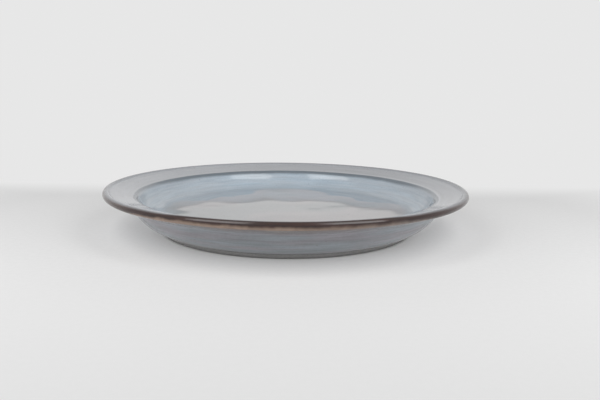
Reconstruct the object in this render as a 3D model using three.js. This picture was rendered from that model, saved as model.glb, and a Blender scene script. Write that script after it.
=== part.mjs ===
// A round stoneware dinner plate: one fired clay body and the glaze coats fused onto it.
// Millimetres, +Z up. The origin is the centre of the foot ring's resting face.
// Every piece is turned about +Z from one half section, drawn as (radius, height) points.
import * as THREE from "three";

const degrees = THREE.MathUtils.degToRad;

// Driving dimensions of the fired clay
const rimDiameter = 264; // across the lip
const plateHeight = 31.2; // resting face to the top of the lip
const lipRadius = 2.1; // the rolled nose of the lip
const lipRise = 1.1; // the top of the lip above the line of the flange
const lipBlendRadius = 2.5; // the hollow where the flange runs up into the lip
const flangeSlope = degrees(12.8); // the flange rises outwards
const flangeWidth = 20.4; // from the outside of the lip in to the shoulder
const flangeRootReach = 1.9; // from the shoulder out to where the flange leaves the wall
const flangeRootThickness = 5.5; // upright thickness there
const shoulderRadius = 5.5; // the rounded edge between the flange and the well
const coveRadius = 18; // the curve from the floor of the well up to the shoulder
const floorThickness = 6.4;
const footDiameter = 187;
const footWidth = 6.5;
const footDepth = 5; // the hollow inside the foot ring
const footEdgeRadius = 1;
const footFilletRadius = 1.5;
const heelHeight = 3.1; // where the wall leaves the foot ring
const wallRadius = 28.5; // the outside of the wall, seen in section
const armpitRadius = 5; // the hollow between the wall and the flange's underside

// The glaze coats
const glazeThickness = 0.45;
const seatGap = 0.05; // between a coat and the clay that it is fused to
const coatGap = 0.3; // between neighbouring coats
const bareHeel = 1.2; // clay wiped clean above the foot ring
const bareFootMargin = 2; // clay wiped clean inside the foot ring
const bandAngle = degrees(-6); // the iron band stops just under the lip's widest point

// How finely curves are cut
const turnSegments = 64;
const footSteps = 2;
const wallSteps = 6;
const armpitSteps = 3;
const fringeSteps = 3;
const noseSteps = 5;
const blendSteps = 2;
const shoulderSteps = 4;
const coveSteps = 8;

const point = (radius, height) => new THREE.Vector2(radius, height);
const along = (start, direction, distance) => start.clone().addScaledVector(direction, distance);
const heading = (angle) => point(Math.cos(angle), Math.sin(angle));
// The section runs anticlockwise round the clay, so the air is always on its right.
const airSide = (direction) => point(direction.y, -direction.x);
const angleFrom = (centre, target) => Math.atan2(target.y - centre.y, target.x - centre.x);

// Points on an arc, both ends included.
function arc(centre, radius, from, to, steps) {
  return Array.from({ length: steps + 1 }, (_, i) =>
    along(centre, heading(from + ((to - from) * i) / steps), radius),
  );
}

// A hollow arc about a centre in the air, from one tangent point to another, the short way round.
function hollowArc(centre, start, end, steps) {
  const from = angleFrom(centre, start);
  const turn = THREE.MathUtils.euclideanModulo(from - angleFrom(centre, end), 2 * Math.PI);
  return arc(centre, centre.distanceTo(start), from, from - turn, steps);
}

// The centre of a hollow of the given radius that lies on a line's air side and touches a round form.
function hollowCentre(linePoint, direction, radius, roundCentre, roundRadius) {
  const start = along(linePoint, airSide(direction), radius);
  const offset = start.clone().sub(roundCentre);
  const half = offset.dot(direction);
  const reach = half * half - offset.lengthSq() + (roundRadius + radius) ** 2;
  return along(start, direction, Math.sqrt(reach) - half);
}

// The centre of a round form that passes through two points and bulges into the air between them.
function bulgeCentre(start, end, radius) {
  const half = end.clone().sub(start).divideScalar(2);
  const depth = Math.sqrt(radius ** 2 - half.lengthSq());
  return along(start.clone().add(half), airSide(half.clone().normalize()), -depth);
}

const touching = (roundCentre, roundRadius, hollow) =>
  along(roundCentre, hollow.clone().sub(roundCentre).normalize(), roundRadius);

// The foot ring and the hollow inside it
const footOuter = footDiameter / 2;
const footInner = footOuter - footWidth;
const baseEdge = point(footInner - footFilletRadius, footDepth);
const baseLine = [point(0, footDepth), baseEdge];
const heel = point(footOuter, heelHeight);
const footLine = [
  ...arc(along(baseEdge, point(0, -1), footFilletRadius), footFilletRadius, Math.PI / 2, 0, footSteps),
  ...arc(
    point(footInner + footEdgeRadius, footEdgeRadius),
    footEdgeRadius,
    Math.PI,
    1.5 * Math.PI,
    footSteps,
  ),
  ...arc(
    point(footOuter - footEdgeRadius, footEdgeRadius),
    footEdgeRadius,
    1.5 * Math.PI,
    2 * Math.PI,
    footSteps,
  ),
  heel,
];

// The lip's nose, and the line of the flange that runs down from it to the shoulder
const nose = point(rimDiameter / 2 - lipRadius, plateHeight - lipRadius);
const inward = heading(Math.PI + flangeSlope);
const flangeUnderLip = point(nose.x, plateHeight - lipRise);
const flangeAt = (radius) => along(flangeUnderLip, inward, (nose.x - radius) / Math.cos(flangeSlope));
const lipHollow = hollowCentre(flangeUnderLip, inward, lipBlendRadius, nose, lipRadius);
const noseEnd = touching(nose, lipRadius, lipHollow);
const flangeTop = along(lipHollow, airSide(inward), -lipBlendRadius);
const shoulderEdge = flangeAt(rimDiameter / 2 - flangeWidth);

// The flange's underside, which touches the nose from below
const root = flangeAt(shoulderEdge.x + flangeRootReach).sub(point(0, flangeRootThickness));
const undersideAngle = angleFrom(root, nose) - Math.asin(lipRadius / root.distanceTo(nose));
const outward = heading(undersideAngle);

// The outside of the wall, from the heel up into the hollow under the flange
const wallCentre = bulgeCentre(heel, root, wallRadius);
const armpit = hollowCentre(root, outward, armpitRadius, wallCentre, wallRadius);
const wallTop = touching(wallCentre, wallRadius, armpit);
const undersideStart = along(armpit, airSide(outward), -armpitRadius);
const outerLine = [
  ...arc(wallCentre, wallRadius, angleFrom(wallCentre, heel), angleFrom(wallCentre, wallTop), wallSteps),
  ...hollowArc(armpit, wallTop, undersideStart, armpitSteps).slice(1),
  along(nose, airSide(outward), lipRadius),
];
const fringeLine = arc(nose, lipRadius, undersideAngle - Math.PI / 2, bandAngle, fringeSteps);
const lipLine = [
  ...arc(nose, lipRadius, bandAngle, angleFrom(nose, noseEnd), noseSteps),
  ...hollowArc(lipHollow, noseEnd, flangeTop, blendSteps).slice(1),
];

// The shoulder, and the cove that carries it down to the floor of the well
const floorHeight = footDepth + floorThickness;
const shoulderCentre = along(shoulderEdge, airSide(inward), -shoulderRadius);
const roundToCove = shoulderRadius + coveRadius;
const wallAngle = Math.acos((floorHeight + coveRadius - shoulderCentre.y) / roundToCove);
const coveCentre = along(shoulderCentre, heading(Math.PI / 2 + wallAngle), roundToCove);
const flangeLine = [flangeTop, shoulderEdge];
const shoulderLine = arc(
  shoulderCentre,
  shoulderRadius,
  Math.PI / 2 + flangeSlope,
  Math.PI / 2 + wallAngle,
  shoulderSteps,
);
const wellLine = [
  ...arc(coveCentre, coveRadius, wallAngle - Math.PI / 2, -Math.PI / 2, coveSteps),
  point(0, floorHeight),
];

// A line without its first stretch of the given length.
function trimStart(line, length) {
  const first = line[0].distanceTo(line[1]);
  if (first <= length) return trimStart(line.slice(1), length - first);
  return [line[0].clone().lerp(line[1], length / first), ...line.slice(1)];
}

const reversed = (line) => [...line].reverse();
const trim = (line, atStart, atEnd) =>
  reversed(trimStart(reversed(trimStart(line, atStart)), atEnd));

// A line moved into the air by the same distance all along.
function raised(line, distance) {
  return line.map((here, i) => {
    const before = here.clone().sub(line[Math.max(i - 1, 0)]);
    const after = line[Math.min(i + 1, line.length - 1)].clone().sub(here);
    const into = (i > 0 ? before : after).clone().normalize();
    const outOf = (i < line.length - 1 ? after : before).clone().normalize();
    const middle = into.clone().add(outOf).normalize();
    return along(here, airSide(middle), distance / middle.dot(into));
  });
}

function turned(name, profile, material) {
  const geometry = new THREE.LatheGeometry(profile, turnSegments);
  geometry.rotateX(Math.PI / 2);
  const mesh = new THREE.Mesh(geometry, material);
  mesh.name = name;
  return mesh;
}

// A coat of glaze over one stretch of the clay, closed on itself or on the axis.
function coat(name, line, material) {
  const face = raised(line, seatGap + glazeThickness);
  const back = reversed(raised(line, seatGap));
  if (line[0].x === 0) return turned(name, [...face, ...back], material);
  if (line.at(-1).x === 0) return turned(name, [...back, ...face], material);
  return turned(name, [...face, ...back, face[0]], material);
}

const glossy = (color) => new THREE.MeshStandardMaterial({ color, roughness: 0.15, metalness: 0 });
const clay = new THREE.MeshStandardMaterial({ color: 0x898887, roughness: 0.85, metalness: 0 });
const paleBlueGlaze = glossy(0x9caab5);
const greyBlueGlaze = glossy(0x939699);
const ironGlaze = glossy(0x2a1917);
const amberGlaze = glossy(0x897669);
const slateGlaze = glossy(0x5f686f);

const clayOutline = [
  ...baseLine,
  ...footLine.slice(1),
  ...outerLine.slice(1),
  ...fringeLine.slice(1),
  ...lipLine.slice(1),
  ...flangeLine.slice(1),
  ...shoulderLine.slice(1),
  ...wellLine.slice(1),
];
const joint = coatGap / 2;

const plate = new THREE.Group();
plate.add(
  turned("stoneware_body", clayOutline, clay),
  coat("base_glaze", trim(baseLine, 0, bareFootMargin), greyBlueGlaze),
  coat("outer_wall_glaze", trim(outerLine, bareHeel, joint), greyBlueGlaze),
  coat("amber_fringe_glaze", trim(fringeLine, joint, joint), amberGlaze),
  coat("lip_iron_glaze", trim(lipLine, joint, joint), ironGlaze),
  coat("flange_glaze", trim(flangeLine, joint, joint), greyBlueGlaze),
  coat("shoulder_line_glaze", trim(shoulderLine, joint, joint), slateGlaze),
  coat("well_glaze", trim(wellLine, joint, 0), paleBlueGlaze),
);

export default plate;
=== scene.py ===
import math

import bmesh
import bpy
import numpy as np
from mathutils import Matrix, Vector


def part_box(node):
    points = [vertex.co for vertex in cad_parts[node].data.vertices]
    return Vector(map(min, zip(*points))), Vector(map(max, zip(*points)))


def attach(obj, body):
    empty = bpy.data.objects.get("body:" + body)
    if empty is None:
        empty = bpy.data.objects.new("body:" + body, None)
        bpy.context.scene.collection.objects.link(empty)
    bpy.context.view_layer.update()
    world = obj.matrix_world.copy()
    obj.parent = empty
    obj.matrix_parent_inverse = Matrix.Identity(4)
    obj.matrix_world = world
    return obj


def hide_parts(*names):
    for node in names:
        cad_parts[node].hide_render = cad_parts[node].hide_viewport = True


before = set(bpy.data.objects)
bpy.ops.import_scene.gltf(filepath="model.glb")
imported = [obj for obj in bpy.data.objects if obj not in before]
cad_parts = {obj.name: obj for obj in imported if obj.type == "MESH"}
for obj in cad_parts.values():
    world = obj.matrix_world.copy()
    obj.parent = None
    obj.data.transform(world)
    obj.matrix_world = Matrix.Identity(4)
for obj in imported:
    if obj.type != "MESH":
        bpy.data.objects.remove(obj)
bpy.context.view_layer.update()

MM = 0.001

# How finely the pieces are cut
TURN_STEPS = 256
LONGEST_STEP = 2 * MM
FEWEST_STEPS = 4
SPAN_STEP = 0.05 * MM  # for finding where a coat starts and stops
SAME_PLACE_DIGITS = 7  # corners that agree to this many digits are one
WELD = 0.001 * MM
SHARP_TURN = math.radians(50)
STRAIGHT_SHARE = 2  # a stretch that is longer than its neighbour by this factor is a straight one

# How the coats lie on the clay
SEAT_GAP = 0.05 * MM
WIDEST_JOINT = 1 * MM  # coats nearer than this meet in the middle of the gap
ROLLED_EDGE = 0.9 * MM  # a free edge of glaze rolls down to the clay over this length
ROLL_STEPS = 6


def cad_section(node):
    """The section of a CAD solid towards +X: (radius, height) points from the axis round to the axis."""
    solid = bmesh.new()
    solid.from_mesh(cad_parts[node].data)
    bmesh.ops.remove_doubles(solid, verts=solid.verts, dist=WELD)
    waiting = {v for v in solid.verts if abs(v.co.y) < WELD and v.co.x > -WELD}
    here = min((v for v in waiting if v.co.x < WELD), key=lambda v: v.co.z)
    line = []
    while here:
        line.append((here.co.x, here.co.z))
        waiting.discard(here)
        linked = [edge.other_vert(here) for edge in here.link_edges]
        here = next((v for v in linked if v in waiting), None)
    solid.free()
    return np.array(line)


def unit(vectors):
    return vectors / np.linalg.norm(vectors, axis=-1, keepdims=True)


def air_side(headings):
    return np.stack([headings[:, 1], -headings[:, 0]], axis=1)


def shared_heading(before, after, length_before, length_after):
    """The heading where two stretches meet: a long straight one keeps its own, short ones form an arc."""
    if length_before > STRAIGHT_SHARE * length_after:
        return before
    if length_after > STRAIGHT_SHARE * length_before:
        return after
    return unit(before * length_after + after * length_before)


def curve(start, step, leaving, arriving):
    """Places and speeds on a smooth curve over one step, with the given speeds at its two ends."""
    count = max(FEWEST_STEPS, math.ceil(np.linalg.norm(step) / LONGEST_STEP))
    t = np.linspace(0, 1, count, endpoint=False)[:, None]
    square = 3 * step - 2 * leaving - arriving
    cube = leaving + arriving - 2 * step
    places = start + t * leaving + t**2 * square + t**3 * cube
    return places, leaving + 2 * t * square + 3 * t**2 * cube


class Section:
    """A smooth half section through the corners of a CAD section, with the air on its right."""

    def __init__(self, corners):
        steps = np.diff(corners, axis=0)
        lengths = np.linalg.norm(steps, axis=1)
        ways = unit(steps)
        leaving, arriving = ways.copy(), ways.copy()
        for i in range(len(ways) - 1):
            if ways[i] @ ways[i + 1] > math.cos(SHARP_TURN):
                shared = shared_heading(ways[i], ways[i + 1], lengths[i], lengths[i + 1])
                arriving[i] = leaving[i + 1] = shared
        places, speeds = [], []
        for i, length in enumerate(lengths):
            stretch = curve(corners[i], steps[i], leaving[i] * length, arriving[i] * length)
            places.append(stretch[0])
            speeds.append(stretch[1])
        self.places = np.vstack([*places, corners[-1:]])
        self.headings = unit(np.vstack([*speeds, arriving[-1:]]))
        gaps = np.linalg.norm(np.diff(self.places, axis=0), axis=1)
        self.along = np.concatenate([[0], np.cumsum(gaps)])
        self.length = self.along[-1]
        self.ridge = self.along[self.places[:, 1].argmax()]

    def at(self, along):
        """Places and headings at distances along the section."""
        places = np.stack([np.interp(along, self.along, self.places[:, i]) for i in range(2)], axis=1)
        headings = np.stack([np.interp(along, self.along, self.headings[:, i]) for i in range(2)], axis=1)
        return places, unit(headings)

    def span(self, node):
        """Where a coat's CAD solid starts and stops along the section."""
        corners = [(math.hypot(v.co.x, v.co.y), v.co.z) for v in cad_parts[node].data.vertices]
        corners = np.unique(np.round(corners, SAME_PLACE_DIGITS), axis=0)
        tries = np.arange(0, self.length, SPAN_STEP)
        places, _ = self.at(tries)
        away = np.linalg.norm(corners[:, None] - places[None], axis=2)
        nearest = tries[away.argmin(axis=1)]
        return nearest.min(), nearest.max()


def turned(name, line, normals, along, closed):
    """A piece turned about +Z from (radius, height) points. It is shaded by the line's own normals,
    and keeps each point's distance along the section for the materials."""
    angles = np.linspace(0, 2 * math.pi, TURN_STEPS, endpoint=False)
    places, shading, distances, rings = [], [], [], []
    for (radius, height), (out, up), distance in zip(line, normals, along):
        turns = angles if radius > WELD else angles[:1]
        rings.append([len(places) + i % len(turns) for i in range(TURN_STEPS + 1)])
        places += [(radius * math.cos(a), radius * math.sin(a), height) for a in turns]
        shading += [(out * math.cos(a), out * math.sin(a), up) for a in turns]
        distances += [distance] * len(turns)
    if closed:
        rings.append(rings[0])
    faces = []
    for ring, following in zip(rings, rings[1:]):
        for i in range(TURN_STEPS):
            corners = (ring[i], ring[i + 1], following[i + 1], following[i])
            faces.append(tuple(dict.fromkeys(corners)))
    mesh = bpy.data.meshes.new(name)
    mesh.from_pydata(places, [], faces)
    mesh.attributes.new("along", "FLOAT", "POINT").data.foreach_set("value", distances)
    mesh.shade_smooth()
    mesh.normals_split_custom_set_from_vertices(shading)
    piece = bpy.data.objects.new(name, mesh)
    bpy.context.scene.collection.objects.link(piece)
    return piece


def coat(name, start, stop, roll_start, roll_stop):
    """A closed skin of glaze over one stretch of the section, rolled down to the clay at its free ends."""
    roll = ROLLED_EDGE * np.linspace(0, 1, ROLL_STEPS + 1) ** 2
    inside = section.along[(section.along > start) & (section.along < stop)]
    along = np.unique(np.concatenate([inside, start + roll, stop - roll]))
    from_edge = np.full_like(along, ROLLED_EDGE)
    if roll_start:
        from_edge = np.minimum(from_edge, along - start)
    if roll_stop:
        from_edge = np.minimum(from_edge, stop - along)
    fullness = np.sqrt(1 - (1 - from_edge / ROLLED_EDGE) ** 2)
    lift = SEAT_GAP + (glaze_depth - SEAT_GAP) * fullness
    lean = np.gradient(lift, along)[:, None]
    places, headings = section.at(along)
    air = air_side(headings)
    face = places + lift[:, None] * air
    back = (places + SEAT_GAP * air)[::-1]
    normals = unit(air - lean * headings)
    if places[-1, 0] < WELD:
        line, shading, distances = [back, face], [-air[::-1], normals], [along[::-1], along]
    else:
        line, shading, distances = [face, back], [normals, -air[::-1]], [along, along[::-1]]
    closed = places[:, 0].min() > WELD
    return turned(name, np.vstack(line), np.vstack(shading), np.concatenate(distances), closed)


class Graph:
    """The node tree of a material or a world. A value is a number, a colour or another node's output."""

    def __init__(self, owner):
        owner.use_nodes = True
        self.owner = owner
        self.tree = owner.node_tree

    def feed(self, socket, value):
        if isinstance(value, bpy.types.NodeSocket):
            self.tree.links.new(value, socket)
        else:
            socket.default_value = value

    def node(self, kind, values=None, **settings):
        node = self.tree.nodes.new("ShaderNode" + kind)
        for name, value in settings.items():
            setattr(node, name, value)
        for socket, value in (values or {}).items():
            self.feed(node.inputs[socket], value)
        return node.outputs

    def math(self, operation, first, *others):
        """Joins two or more values by the operation, one after the other."""
        for other in others:
            first = self.node("Math", {0: first, 1: other}, operation=operation)[0]
        return first

    def total(self, *values):
        return self.math("ADD", *values)

    def product(self, *values):
        return self.math("MULTIPLY", *values)

    def ramp(self, value, start, stop, low=0.0, high=1.0):
        """Goes smoothly from low to high as the value goes from start to stop."""
        if start > stop:
            start, stop, low, high = stop, start, high, low
        values = {0: value, 1: start, 2: stop, 3: low, 4: high}
        return self.node("MapRange", values, interpolation_type="SMOOTHSTEP")[0]

    def mix(self, factor, first, second):
        return self.node("Mix", {0: factor, 6: first, 7: second}, data_type="RGBA")[2]


# A speck fades out between these shares of the grid's spacing
SPECK_EDGE = 0.24
SPECK_CORE = 0.12


class Surface(Graph):
    """A material's nodes, with the places on the plate that its patterns follow."""

    def __init__(self, name):
        super().__init__(bpy.data.materials.new(name))
        self.shader = self.tree.nodes["Principled BSDF"]
        self.spot = self.node("TexCoord")["Object"]
        x, y, z = self.node("SeparateXYZ", {0: self.spot})
        flat = self.node("CombineXYZ", {0: x, 1: y})[0]
        self.radius = self.node("VectorMath", {0: flat}, operation="LENGTH")["Value"]
        compass = self.node("VectorMath", {0: flat}, operation="NORMALIZE")[0]
        self.east, self.north, _ = self.node("SeparateXYZ", {0: compass})
        # 0 at the front and back, 1 at the left and right
        self.aside = self.node("Math", {0: self.east}, operation="ABSOLUTE")[0]
        self.back = y
        self.height = z
        self.along = self.node("Attribute", attribute_name="along")["Fac"]

    def tone(self, colour, *factors):
        """The colour made darker or lighter by factors about 1."""
        factor = self.product(*factors)
        grey = self.node("CombineColor", {0: factor, 1: factor, 2: factor})[0]
        values = {0: 1.0, 6: colour, 7: grey}
        return self.node("Mix", values, data_type="RGBA", blend_type="MULTIPLY")[2]

    def noise(self, vector, scale, detail):
        return self.node("TexNoise", {"Vector": vector, "Scale": scale, "Detail": detail})[0]

    def mottle(self, size, detail=3.0):
        """Soft patches of about the given size."""
        return self.noise(self.spot, 1 / size, detail)

    def streaks(self, around, length, detail=3.0):
        """Patches, this many round the plate, each about this long on the way along the section."""
        scale = around / (2 * math.pi)
        level = self.product(self.along, 1 / (length * scale))
        ring = self.node("CombineXYZ", {0: self.east, 1: self.north, 2: level})[0]
        return self.noise(ring, scale, detail)

    def specks(self, spacing, share):
        """Round specks on a scattered grid, of which only this share has one: 1 inside, 0 outside."""
        grid = self.node("TexVoronoi", {"Vector": self.spot, "Scale": 1 / spacing})
        chosen = self.math("LESS_THAN", self.node("SeparateColor", {0: grid["Color"]})[0], share)
        return self.product(chosen, self.ramp(grid["Distance"], SPECK_EDGE, SPECK_CORE))

    def bump(self, height, depth, below=None):
        values = {"Height": height, "Distance": depth, "Strength": 1.0}
        if below:
            values["Normal"] = below
        return self.node("Bump", values)[0]

    def finish(self, colour, roughness, normal):
        self.feed(self.shader.inputs["Base Color"], colour)
        self.feed(self.shader.inputs["Roughness"], roughness)
        self.feed(self.shader.inputs["Normal"], normal)
        return self.owner


# The section of the clay, and where one coat meets the next along it
corners = cad_section("stoneware_body")
section = Section(corners)
glaze_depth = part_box("lip_iron_glaze")[1].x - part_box("stoneware_body")[1].x
SLOTS = {
    "base_glaze": "grey_blue_glaze",
    "outer_wall_glaze": "grey_blue_glaze",
    "amber_fringe_glaze": "amber_glaze",
    "lip_iron_glaze": "iron_brown_glaze",
    "flange_glaze": "grey_blue_glaze",
    "shoulder_line_glaze": "slate_glaze",
    "well_glaze": "pale_blue_glaze",
}
spans = {node: section.span(node) for node in SLOTS}


def meeting(first, second):
    return (spans[first][1] + spans[second][0]) / 2


GLAZE_STOP = spans["outer_wall_glaze"][0]
NOSE_LOW = meeting("outer_wall_glaze", "amber_fringe_glaze")
NOSE_WIDEST = meeting("amber_fringe_glaze", "lip_iron_glaze")
RIDGE = section.ridge
SHOULDER_OUT = meeting("flange_glaze", "shoulder_line_glaze")
SHOULDER_IN = meeting("shoulder_line_glaze", "well_glaze")
FLOOR_EDGE = section.length - corners[-2, 0]

# Colours of the fired glaze and clay, linear
OUTSIDE_BLUE = (0.235, 0.26, 0.28, 1)
OUTSIDE_MAUVE = (0.255, 0.247, 0.267, 1)
AMBER = (0.224, 0.161, 0.125, 1)
IRON_BROWN = (0.024, 0.010, 0.008, 1)
FLANGE_GREY = (0.32, 0.33, 0.35, 1)
# painted highlight: the pale ring on the flange by the shoulder
FLANGE_PAINTED_HIGHLIGHT = (0.36, 0.37, 0.39, 1)
SLATE = (0.115, 0.138, 0.16, 1)
WELL_BLUE = (0.335, 0.40, 0.46, 1)
WELL_GREY = (0.375, 0.415, 0.455, 1)
FLOOR_GREY = (0.355, 0.365, 0.37, 1)
FLOOR_MAUVE = (0.40, 0.385, 0.39, 1)
GLAZE_SPECK = (0.10, 0.075, 0.06, 1)
CLAY = (0.25, 0.247, 0.243, 1)
CLAY_SPECK = (0.09, 0.075, 0.065, 1)

# How hard a pattern is drawn: its noise lies about 0.5, and goes from low to high between these values
SANDY = (0.2, 0.8)
FAINT = (0.25, 0.75)
CLEAR = (0.3, 0.7)
BOLD = (0.35, 0.65)
BLOTCHY = (0.4, 0.6)

# What every glaze shares
GRAIN_SIZE = 1.2 * MM
SPECK_SPACING = 2.5 * MM
GLAZE_SPECKED = 0.06  # share of the specks' grid that has one
GLAZE_SPECK_STRENGTH = 0.4
GLOSS_PATCH = 9 * MM
ROUGHEST = 0.10
LIP_ROUGHEST = 0.24
WAVE_LENGTH = 40 * MM
WAVE_DEPTH = 0.015 * MM
WELL_WAVE_DEPTH = 1.6 * MM
RIPPLE_LENGTH = 4 * MM
RIPPLE_DEPTH = 0.0015 * MM

# The bare clay
SAND_SIZE = 0.7 * MM
SAND_DEPTH = 0.15 * MM
CLAY_SPECKED = 0.2


def outside_colour(surface):
    """Blue-grey and mauve-grey streaks round the outside. They are darker in front, paler under the flange
    and low on the wall with painted light, and end in a painted shade line where the glaze stops."""
    patches = surface.ramp(surface.streaks(14, 5 * MM), *BOLD)
    lines = surface.ramp(surface.streaks(30, 1.6 * MM), *FAINT, 0.87, 1.13)
    front = surface.ramp(surface.aside, 0.2, 0.8, 0.86, 1.0)
    # painted light: paler under the flange, as if lit from the floor below
    painted_light_under_flange = surface.ramp(surface.along, NOSE_LOW - 27 * MM, NOSE_LOW - 3 * MM, 1.0, 1.6)
    # painted light: paler low on the wall, darker above it
    painted_light_low_wall = surface.ramp(surface.along, GLAZE_STOP + 15 * MM, GLAZE_STOP + 21.5 * MM, 1.2, 0.935)
    # painted shade: a dark line in the crevice where the glaze stops above the foot
    painted_shade_foot_line = surface.ramp(surface.along, GLAZE_STOP, GLAZE_STOP + 7 * MM, 0.43, 1.0)
    colour = surface.mix(patches, OUTSIDE_BLUE, OUTSIDE_MAUVE)
    return surface.tone(colour, lines, front, painted_light_under_flange, painted_light_low_wall, painted_shade_foot_line)


def amber_over(surface, colour):
    """Lets the iron glaze run thin and amber below the lip, in uneven drips. The amber is palest on the
    left, darker and fainter on the right, and nearly gone at the far left and right."""
    drips = surface.ramp(surface.streaks(120, 30 * MM), *CLEAR, -2 * MM, 2 * MM)
    sweeps = surface.ramp(surface.streaks(12, 80 * MM), *CLEAR, -2 * MM, 2 * MM)
    lines = surface.ramp(surface.streaks(200, 40 * MM), *CLEAR, 0.88, 1.12)
    left = surface.ramp(surface.east, -0.6, 0, 1.08, 1.0)
    right = surface.ramp(surface.east, 0, 0.5, 1.0, 0.87)
    amber = surface.tone(AMBER, lines, left, right)
    level = surface.total(surface.along, drips, sweeps)
    share = surface.ramp(level, NOSE_LOW - 17 * MM, NOSE_LOW - 2 * MM)
    faint_right = surface.ramp(surface.east, 0.1, 0.75, 1.0, 0.75)
    far_sides = surface.ramp(surface.aside, 0.75, 0.95, 1.0, 0.2)
    return surface.mix(surface.product(share, faint_right, far_sides), colour, amber)


def iron_lower_share(surface):
    """The iron band's lower edge. It is higher a little to the left and right of the front, sinks at the
    sides, and fades slowly on the right."""
    wander = surface.ramp(surface.streaks(90, 30 * MM, 4), *FAINT, -0.4 * MM, 0.4 * MM)
    edge = surface.ramp(surface.aside, 0.05, 0.25, NOSE_WIDEST + 0.6 * MM, NOSE_WIDEST + 0.9 * MM)
    sunk = surface.ramp(surface.aside, 0.5, 0.8, 0, 1.6 * MM)
    below = surface.math("SUBTRACT", edge, surface.total(surface.along, wander, sunk))
    fade = surface.ramp(surface.east, 0, 0.5, 1.75 * MM, 3.2 * MM)
    return surface.ramp(surface.math("DIVIDE", below, fade), 1, 0)


def iron_upper_share(surface):
    """The iron band's upper edge, by the ridge. It lies lower off the front, higher again at the sides, and
    fades slowly there."""
    off_front = surface.ramp(surface.aside, 0.3, 0.6, 0, 0.6 * MM)
    sides = surface.ramp(surface.aside, 0.5, 0.7, 0, 0.8 * MM)
    far_sides = surface.ramp(surface.aside, 0.85, 1.0, 0, 0.5 * MM)
    edge = surface.math("SUBTRACT", surface.total(RIDGE + 0.45 * MM, sides, far_sides), off_front)
    under_edge = surface.math("SUBTRACT", edge, surface.along)
    fade = surface.ramp(surface.aside, 0.4, 0.8, 1.45 * MM, 3.6 * MM)
    return surface.ramp(surface.math("DIVIDE", under_edge, fade), 0, 1)


def iron_over(surface, colour):
    """Lays the streaky iron-brown band over the lip, a little thinner at the sides."""
    brown = surface.tone(IRON_BROWN, surface.ramp(surface.streaks(40, 1.5 * MM), *CLEAR, 0.7, 1.3))
    thin_sides = surface.ramp(surface.aside, 0.65, 0.95, 1.0, 0.85)
    share = surface.product(iron_lower_share(surface), iron_upper_share(surface), thin_sides)
    return surface.mix(share, colour, brown)


def flange_colour(surface):
    """Grey with faint streaks, paler on the left and at the near corners, with a painted highlight in a pale
    ring by the shoulder, where its rounding catches the light."""
    streaks = surface.ramp(surface.streaks(18, 4 * MM), *FAINT, 0.95, 1.05)
    left = surface.ramp(surface.east, -0.7, 0.7, 1.08, 0.93)
    near = surface.ramp(surface.north, -0.5, -0.75)
    off_front = surface.ramp(surface.aside, 0.4, 0.6)
    near_corners = surface.ramp(surface.product(near, off_front), 0, 1, 1.0, 1.2)
    colour = surface.tone(FLANGE_GREY, streaks, left, near_corners)
    # painted highlight: where the shoulder's rounding reflects the bright surroundings
    painted_highlight_ring = surface.ramp(surface.along, SHOULDER_OUT - 3 * MM, SHOULDER_OUT - 0.5 * MM)
    return surface.mix(painted_highlight_ring, colour, FLANGE_PAINTED_HIGHLIGHT)


def slate_over(surface, colour):
    """Lays the dark line over the upper part of the shoulder, where the glaze pulls thin. It is wider on
    the near side, and narrower and fainter at the far left and right."""
    wander = surface.ramp(surface.streaks(24, 20 * MM), *FAINT, -0.3 * MM, 0.3 * MM)
    widened = surface.ramp(surface.north, -0.1, -0.4, 0, 1.2 * MM)
    outer_level = surface.total(surface.along, wander, widened)
    outer = surface.ramp(outer_level, SHOULDER_OUT - 0.4 * MM, SHOULDER_OUT + 1 * MM)
    narrowed = surface.ramp(surface.aside, 0.85, 1.0, 0, 1 * MM)
    inner_level = surface.total(surface.along, wander, narrowed)
    inner = surface.ramp(inner_level, SHOULDER_IN + 0.4 * MM, SHOULDER_IN - 2.6 * MM)
    far_sides = surface.ramp(surface.aside, 0.94, 1.0, 1.0, 0.75)
    return surface.mix(surface.product(outer, inner, far_sides), colour, SLATE)


def cove_colour(surface):
    """Pale blue streaks, greyer at the sides, and a little darker under the shoulder and on the right."""
    streaks = surface.ramp(surface.streaks(14, 4 * MM), *BOLD, 0, 0.6)
    sides = surface.ramp(surface.aside, 0.3, 0.9, 0, 0.5)
    colour = surface.mix(surface.total(streaks, sides), WELL_BLUE, WELL_GREY)
    lines = surface.ramp(surface.streaks(26, 1.8 * MM), *FAINT, 0.92, 1.08)
    under_shoulder = surface.ramp(surface.along, SHOULDER_IN, SHOULDER_IN + 9 * MM, 0.91, 1.0)
    right = surface.ramp(surface.east, 0, 0.6, 1.0, 0.95)
    return surface.tone(colour, lines, under_shoulder, right)


def well_floor_colour(surface):
    """Pooled grey and a little mauve, made paler towards the back by painted light."""
    blotches = surface.ramp(surface.mottle(60 * MM), *BLOTCHY)
    # painted light: paler towards the back, where less light reaches the floor
    painted_light_back = surface.ramp(surface.back, -30 * MM, 90 * MM, 0.96, 1.28)
    return surface.tone(surface.mix(blotches, FLOOR_GREY, FLOOR_MAUVE), painted_light_back)


def well_colour(surface):
    """The cove's colour runs into the floor's. At the back, to the left and right, it reaches further in, in
    ragged tongues."""
    sides = surface.ramp(surface.aside, 0.15, 0.6, 0, 20 * MM)
    behind = surface.ramp(surface.north, 0.2, 0.6)
    ragged = surface.ramp(surface.streaks(14, 25 * MM, 1), *CLEAR, 0.4, 1.6)
    level = surface.math("SUBTRACT", surface.along, surface.product(sides, behind, ragged))
    on_floor = surface.ramp(level, FLOOR_EDGE - 6 * MM, FLOOR_EDGE + 4 * MM)
    return surface.mix(on_floor, cove_colour(surface), well_floor_colour(surface))


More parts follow.
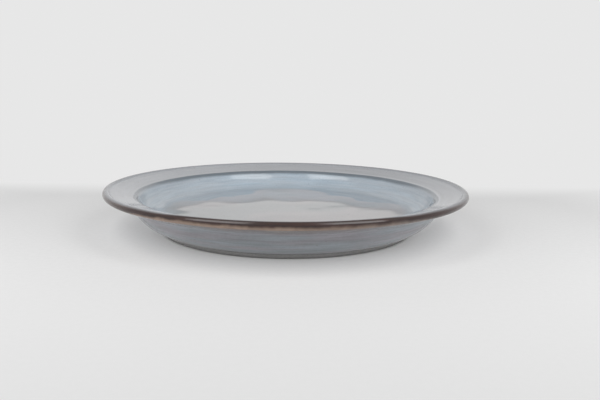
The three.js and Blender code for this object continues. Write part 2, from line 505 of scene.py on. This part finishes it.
def glaze_finish(surface, colour, wave_depth=WAVE_DEPTH, roughest=ROUGHEST):
    """Adds what every glaze here shares: fine mottling, a few iron specks, and a wavy, uneven gloss."""
    colour = surface.tone(colour, surface.ramp(surface.mottle(GRAIN_SIZE, 4), *FAINT, 0.95, 1.05))
    specks = surface.specks(SPECK_SPACING, GLAZE_SPECKED)
    colour = surface.mix(surface.product(specks, GLAZE_SPECK_STRENGTH), colour, GLAZE_SPECK)
    roughness = surface.ramp(surface.mottle(GLOSS_PATCH), *FAINT, roughest / 2, roughest)
    waves = surface.bump(surface.mottle(WAVE_LENGTH, 1), wave_depth)
    ripples = surface.bump(surface.mottle(RIPPLE_LENGTH, 1), RIPPLE_DEPTH, waves)
    return surface.finish(colour, roughness, ripples)


def base_material():
    surface = Surface("base_glaze")
    return glaze_finish(surface, outside_colour(surface))


def outer_wall_material():
    surface = Surface("outer_wall_glaze")
    return glaze_finish(surface, amber_over(surface, outside_colour(surface)))


def fringe_material():
    surface = Surface("amber_fringe_glaze")
    return glaze_finish(surface, iron_over(surface, amber_over(surface, outside_colour(surface))))


def lip_material():
    """Amber shows below the iron band. Above it is the flange's grey, darker round the back of the rim.
    The iron glaze is less glossy than the others, so its highlights have soft ends."""
    surface = Surface("lip_iron_glaze")
    below = amber_over(surface, outside_colour(surface))
    darker_at_back = surface.ramp(surface.north, -0.6, -0.2, 1.0, 0.75)
    by_ridge = surface.ramp(surface.along, RIDGE + 1 * MM, RIDGE + 3 * MM, darker_at_back, 1.0)
    above = surface.tone(flange_colour(surface), by_ridge)
    inside = surface.ramp(surface.along, RIDGE - 2.5 * MM, RIDGE - 1.5 * MM)
    colour = iron_over(surface, surface.mix(inside, below, above))
    return glaze_finish(surface, colour, roughest=LIP_ROUGHEST)


def flange_material():
    surface = Surface("flange_glaze")
    return glaze_finish(surface, slate_over(surface, flange_colour(surface)))


def shoulder_material():
    """The slate line lies between the flange's grey and the well's blue."""
    surface = Surface("shoulder_line_glaze")
    inside = surface.ramp(surface.along, SHOULDER_OUT + 1 * MM, SHOULDER_IN - 1 * MM)
    under = surface.mix(inside, flange_colour(surface), well_colour(surface))
    return glaze_finish(surface, slate_over(surface, under))


def well_material():
    """The floor of the well is a little uneven, which breaks up the rim's mirror image in it."""
    surface = Surface("well_glaze")
    colour = slate_over(surface, well_colour(surface))
    return glaze_finish(surface, colour, wave_depth=WELL_WAVE_DEPTH)


def clay_material():
    """Dry fired clay: sandy grain, dark iron specks and no gloss. Painted contact shadow darkens it towards
    the resting edge.
    """
    surface = Surface("bare_clay")
    sand = surface.mottle(SAND_SIZE, 5)
    colour = surface.tone(CLAY, surface.ramp(sand, *FAINT, 0.85, 1.12))
    colour = surface.mix(surface.specks(SPECK_SPACING, CLAY_SPECKED), colour, CLAY_SPECK)
    # painted shade: contact shadow, darker towards the resting edge
    colour = surface.tone(colour, surface.ramp(surface.height, 0.4 * MM, 2 * MM, 0.6, 0.95))
    roughness = surface.ramp(sand, *SANDY, 0.75, 0.95)
    return surface.finish(colour, roughness, surface.bump(sand, SAND_DEPTH))


MATERIALS = {
    "base_glaze": base_material(),
    "outer_wall_glaze": outer_wall_material(),
    "amber_fringe_glaze": fringe_material(),
    "lip_iron_glaze": lip_material(),
    "flange_glaze": flange_material(),
    "shoulder_line_glaze": shoulder_material(),
    "well_glaze": well_material(),
}


def dress(piece, node, material):
    piece.data.materials.append(material)
    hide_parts(node)
    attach(piece, "root")


clay = turned("clay_body", section.places, air_side(section.headings), section.along, closed=False)
dress(clay, "stoneware_body", clay_material())

# The coats follow each other along the section, from the middle of the base to the middle of the well.
names = list(SLOTS)
for i, node in enumerate(names):
    start, stop = spans[node]
    before = spans[names[i - 1]][1] if i > 0 else 0
    after = spans[names[i + 1]][0] if i < len(names) - 1 else section.length
    roll_start = start - before > WIDEST_JOINT
    roll_stop = after - stop > WIDEST_JOINT
    start = start if roll_start else (start + before) / 2
    stop = stop if roll_stop else (stop + after) / 2
    dress(coat(node + "_coat", start, stop, roll_start, roll_stop), node, MATERIALS[node])

# The pale studio: a wide floor that fades into a world of the same tone
PALE = (0.80, 0.80, 0.80, 1)
WHITE = (1, 1, 1, 1)
FLOOR_COLOUR = (0.79, 0.79, 0.79, 1)
FLOOR_ROUGHNESS = 0.9
FLOOR_GRAIN = 3 * MM
FLOOR_RADIUS = 6.0
FLOOR_STEPS = 96
FADE_START = 0.18  # distances from the middle of the plate, all round
FADE_STOP = 0.45
BACK_FADE_START = 0.08  # distances behind it
BACK_FADE_STOP = 0.2
FOOT_SHARE = 0.708  # the foot ring's share of the plate's radius
SHADOW_EDGE = 1.5 * MM  # width of the dark line along the foot ring
SHADOW_LIFT = 0.22
FRONT_LIFT = 0.5
FRONT_LIFT_START = 0.06  # distances in front of the middle of the plate
FRONT_LIFT_STOP = 0.2
SKY_AROUND = 2.2  # strength of the light from near the horizon
SKY_OVERHEAD = 0.1
SKY_TURNS_START = 0.25  # heights between which the one runs into the other, 1 being straight up
SKY_TURNS_STOP = 0.55


def shown_rays(graph):
    """1 for what the camera sees, straight or mirrored in the glaze, and 0 for light."""
    path = graph.node("LightPath")
    return graph.math("MAXIMUM", path["Is Camera Ray"], path["Is Glossy Ray"])


def floor_glow_share(surface):
    """How much of the floor glows. It all does far off, to meet the world. Nearer, the plate's shadow is
    lightened where it is seen, down to a dark line along the foot ring, and more so in front."""
    all_round = surface.ramp(surface.radius, FADE_START, FADE_STOP)
    behind = surface.ramp(surface.back, BACK_FADE_START, BACK_FADE_STOP)
    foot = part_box("stoneware_body")[1].x * FOOT_SHARE
    lifted = surface.ramp(surface.radius, foot, foot + SHADOW_EDGE, 0, SHADOW_LIFT)
    ahead = surface.ramp(surface.back, -FRONT_LIFT_START, -FRONT_LIFT_STOP, 0, FRONT_LIFT)
    seen = surface.product(surface.total(lifted, ahead), shown_rays(surface))
    return surface.math("MAXIMUM", all_round, behind, seen)


def floor_material():
    surface = Surface("pale_floor")
    colour = surface.tone(FLOOR_COLOUR, surface.ramp(surface.mottle(FLOOR_GRAIN), *CLEAR, 0.985, 1.015))
    surface.feed(surface.shader.inputs["Base Color"], colour)
    surface.feed(surface.shader.inputs["Roughness"], FLOOR_ROUGHNESS)
    surface.feed(surface.shader.inputs["Specular IOR Level"], 0)
    glow = surface.node("Emission", {"Color": PALE, "Strength": 1.0})[0]
    values = {0: floor_glow_share(surface), 1: surface.shader.outputs[0], 2: glow}
    both = surface.node("MixShader", values)[0]
    surface.feed(surface.tree.nodes["Material Output"].inputs["Surface"], both)
    return surface.owner


def pale_floor():
    mesh = bpy.data.meshes.new("pale_floor")
    disc = bmesh.new()
    bmesh.ops.create_circle(disc, cap_ends=True, segments=FLOOR_STEPS, radius=FLOOR_RADIUS)
    disc.to_mesh(mesh)
    disc.free()
    mesh.materials.append(floor_material())
    floor = bpy.data.objects.new("pale_floor", mesh)
    bpy.context.scene.collection.objects.link(floor)


def pale_world():
    """The world shows one pale tone to the camera and in reflections, and lights the plate from all round."""
    graph = Graph(bpy.data.worlds.new("pale_studio"))
    _, _, height = graph.node("SeparateXYZ", {0: graph.node("TexCoord")["Generated"]})
    strength = graph.ramp(height, SKY_TURNS_START, SKY_TURNS_STOP, SKY_AROUND, SKY_OVERHEAD)
    light = graph.node("Background", {"Color": WHITE, "Strength": strength})[0]
    shown = graph.node("Background", {"Color": PALE})[0]
    both = graph.node("MixShader", {0: shown_rays(graph), 1: light, 2: shown})[0]
    graph.feed(graph.tree.nodes["World Output"].inputs["Surface"], both)
    bpy.context.scene.world = graph.owner


# Two soft boxes close over the front of the plate, to the left and right of the camera
BOX_ASIDE = 0.242
BOX_FORWARD = 0.22
BOX_ABOVE = 0.343
BOX_TILT = math.radians(30)  # how far below level they face
BOX_WIDTH = 0.27
BOX_HEIGHT = 0.36
BOX_RADIANCE = 3.4


def soft_box(name, aside):
    lamp = bpy.data.lights.new(name, "AREA")
    lamp.shape = "RECTANGLE"
    lamp.size = BOX_WIDTH
    lamp.size_y = BOX_HEIGHT
    lamp.energy = BOX_RADIANCE * math.pi * BOX_WIDTH * BOX_HEIGHT
    box = bpy.data.objects.new(name, lamp)
    turn = Matrix.Rotation(math.pi / 2 - BOX_TILT, 4, "X")
    box.matrix_world = Matrix.Translation((aside, -BOX_FORWARD, BOX_ABOVE)) @ turn
    bpy.context.scene.collection.objects.link(box)


# The photograph's camera, fitted to the plate's circles, with its angles in radians
CAMERA_PLACE = Vector((0, -0.4249, 0.09898))
CAMERA_YAW = 0.0234
CAMERA_PITCH = 0.1861
CAMERA_ROLL = 0.0137
FOCAL_PIXELS = 568.0
IMAGE_WIDTH = 600  # pixels
SENSOR_WIDTH = 36  # millimetres, as the camera's lens is
NEAREST_SEEN = 0.01


def photo_camera():
    data = bpy.data.cameras.new("photo_camera")
    data.sensor_width = SENSOR_WIDTH
    data.lens = FOCAL_PIXELS / IMAGE_WIDTH * SENSOR_WIDTH
    data.clip_start = NEAREST_SEEN
    level = Vector((math.sin(CAMERA_YAW), math.cos(CAMERA_YAW), 0))
    across = Vector((math.cos(CAMERA_YAW), -math.sin(CAMERA_YAW), 0))
    upright = Vector((0, 0, 1))
    forward = math.cos(CAMERA_PITCH) * level - math.sin(CAMERA_PITCH) * upright
    up = math.sin(CAMERA_PITCH) * level + math.cos(CAMERA_PITCH) * upright
    right = math.cos(CAMERA_ROLL) * across + math.sin(CAMERA_ROLL) * up
    top = math.cos(CAMERA_ROLL) * up - math.sin(CAMERA_ROLL) * across
    camera = bpy.data.objects.new("photo_camera", data)
    turn = Matrix((right, top, -forward)).transposed()
    camera.matrix_world = Matrix.Translation(CAMERA_PLACE) @ turn.to_4x4()
    bpy.context.scene.collection.objects.link(camera)
    bpy.context.scene.camera = camera


pale_floor()
pale_world()
soft_box("soft_box_left", -BOX_ASIDE)
soft_box("soft_box_right", BOX_ASIDE)
photo_camera()
bpy.context.scene.view_settings.view_transform = "Standard"
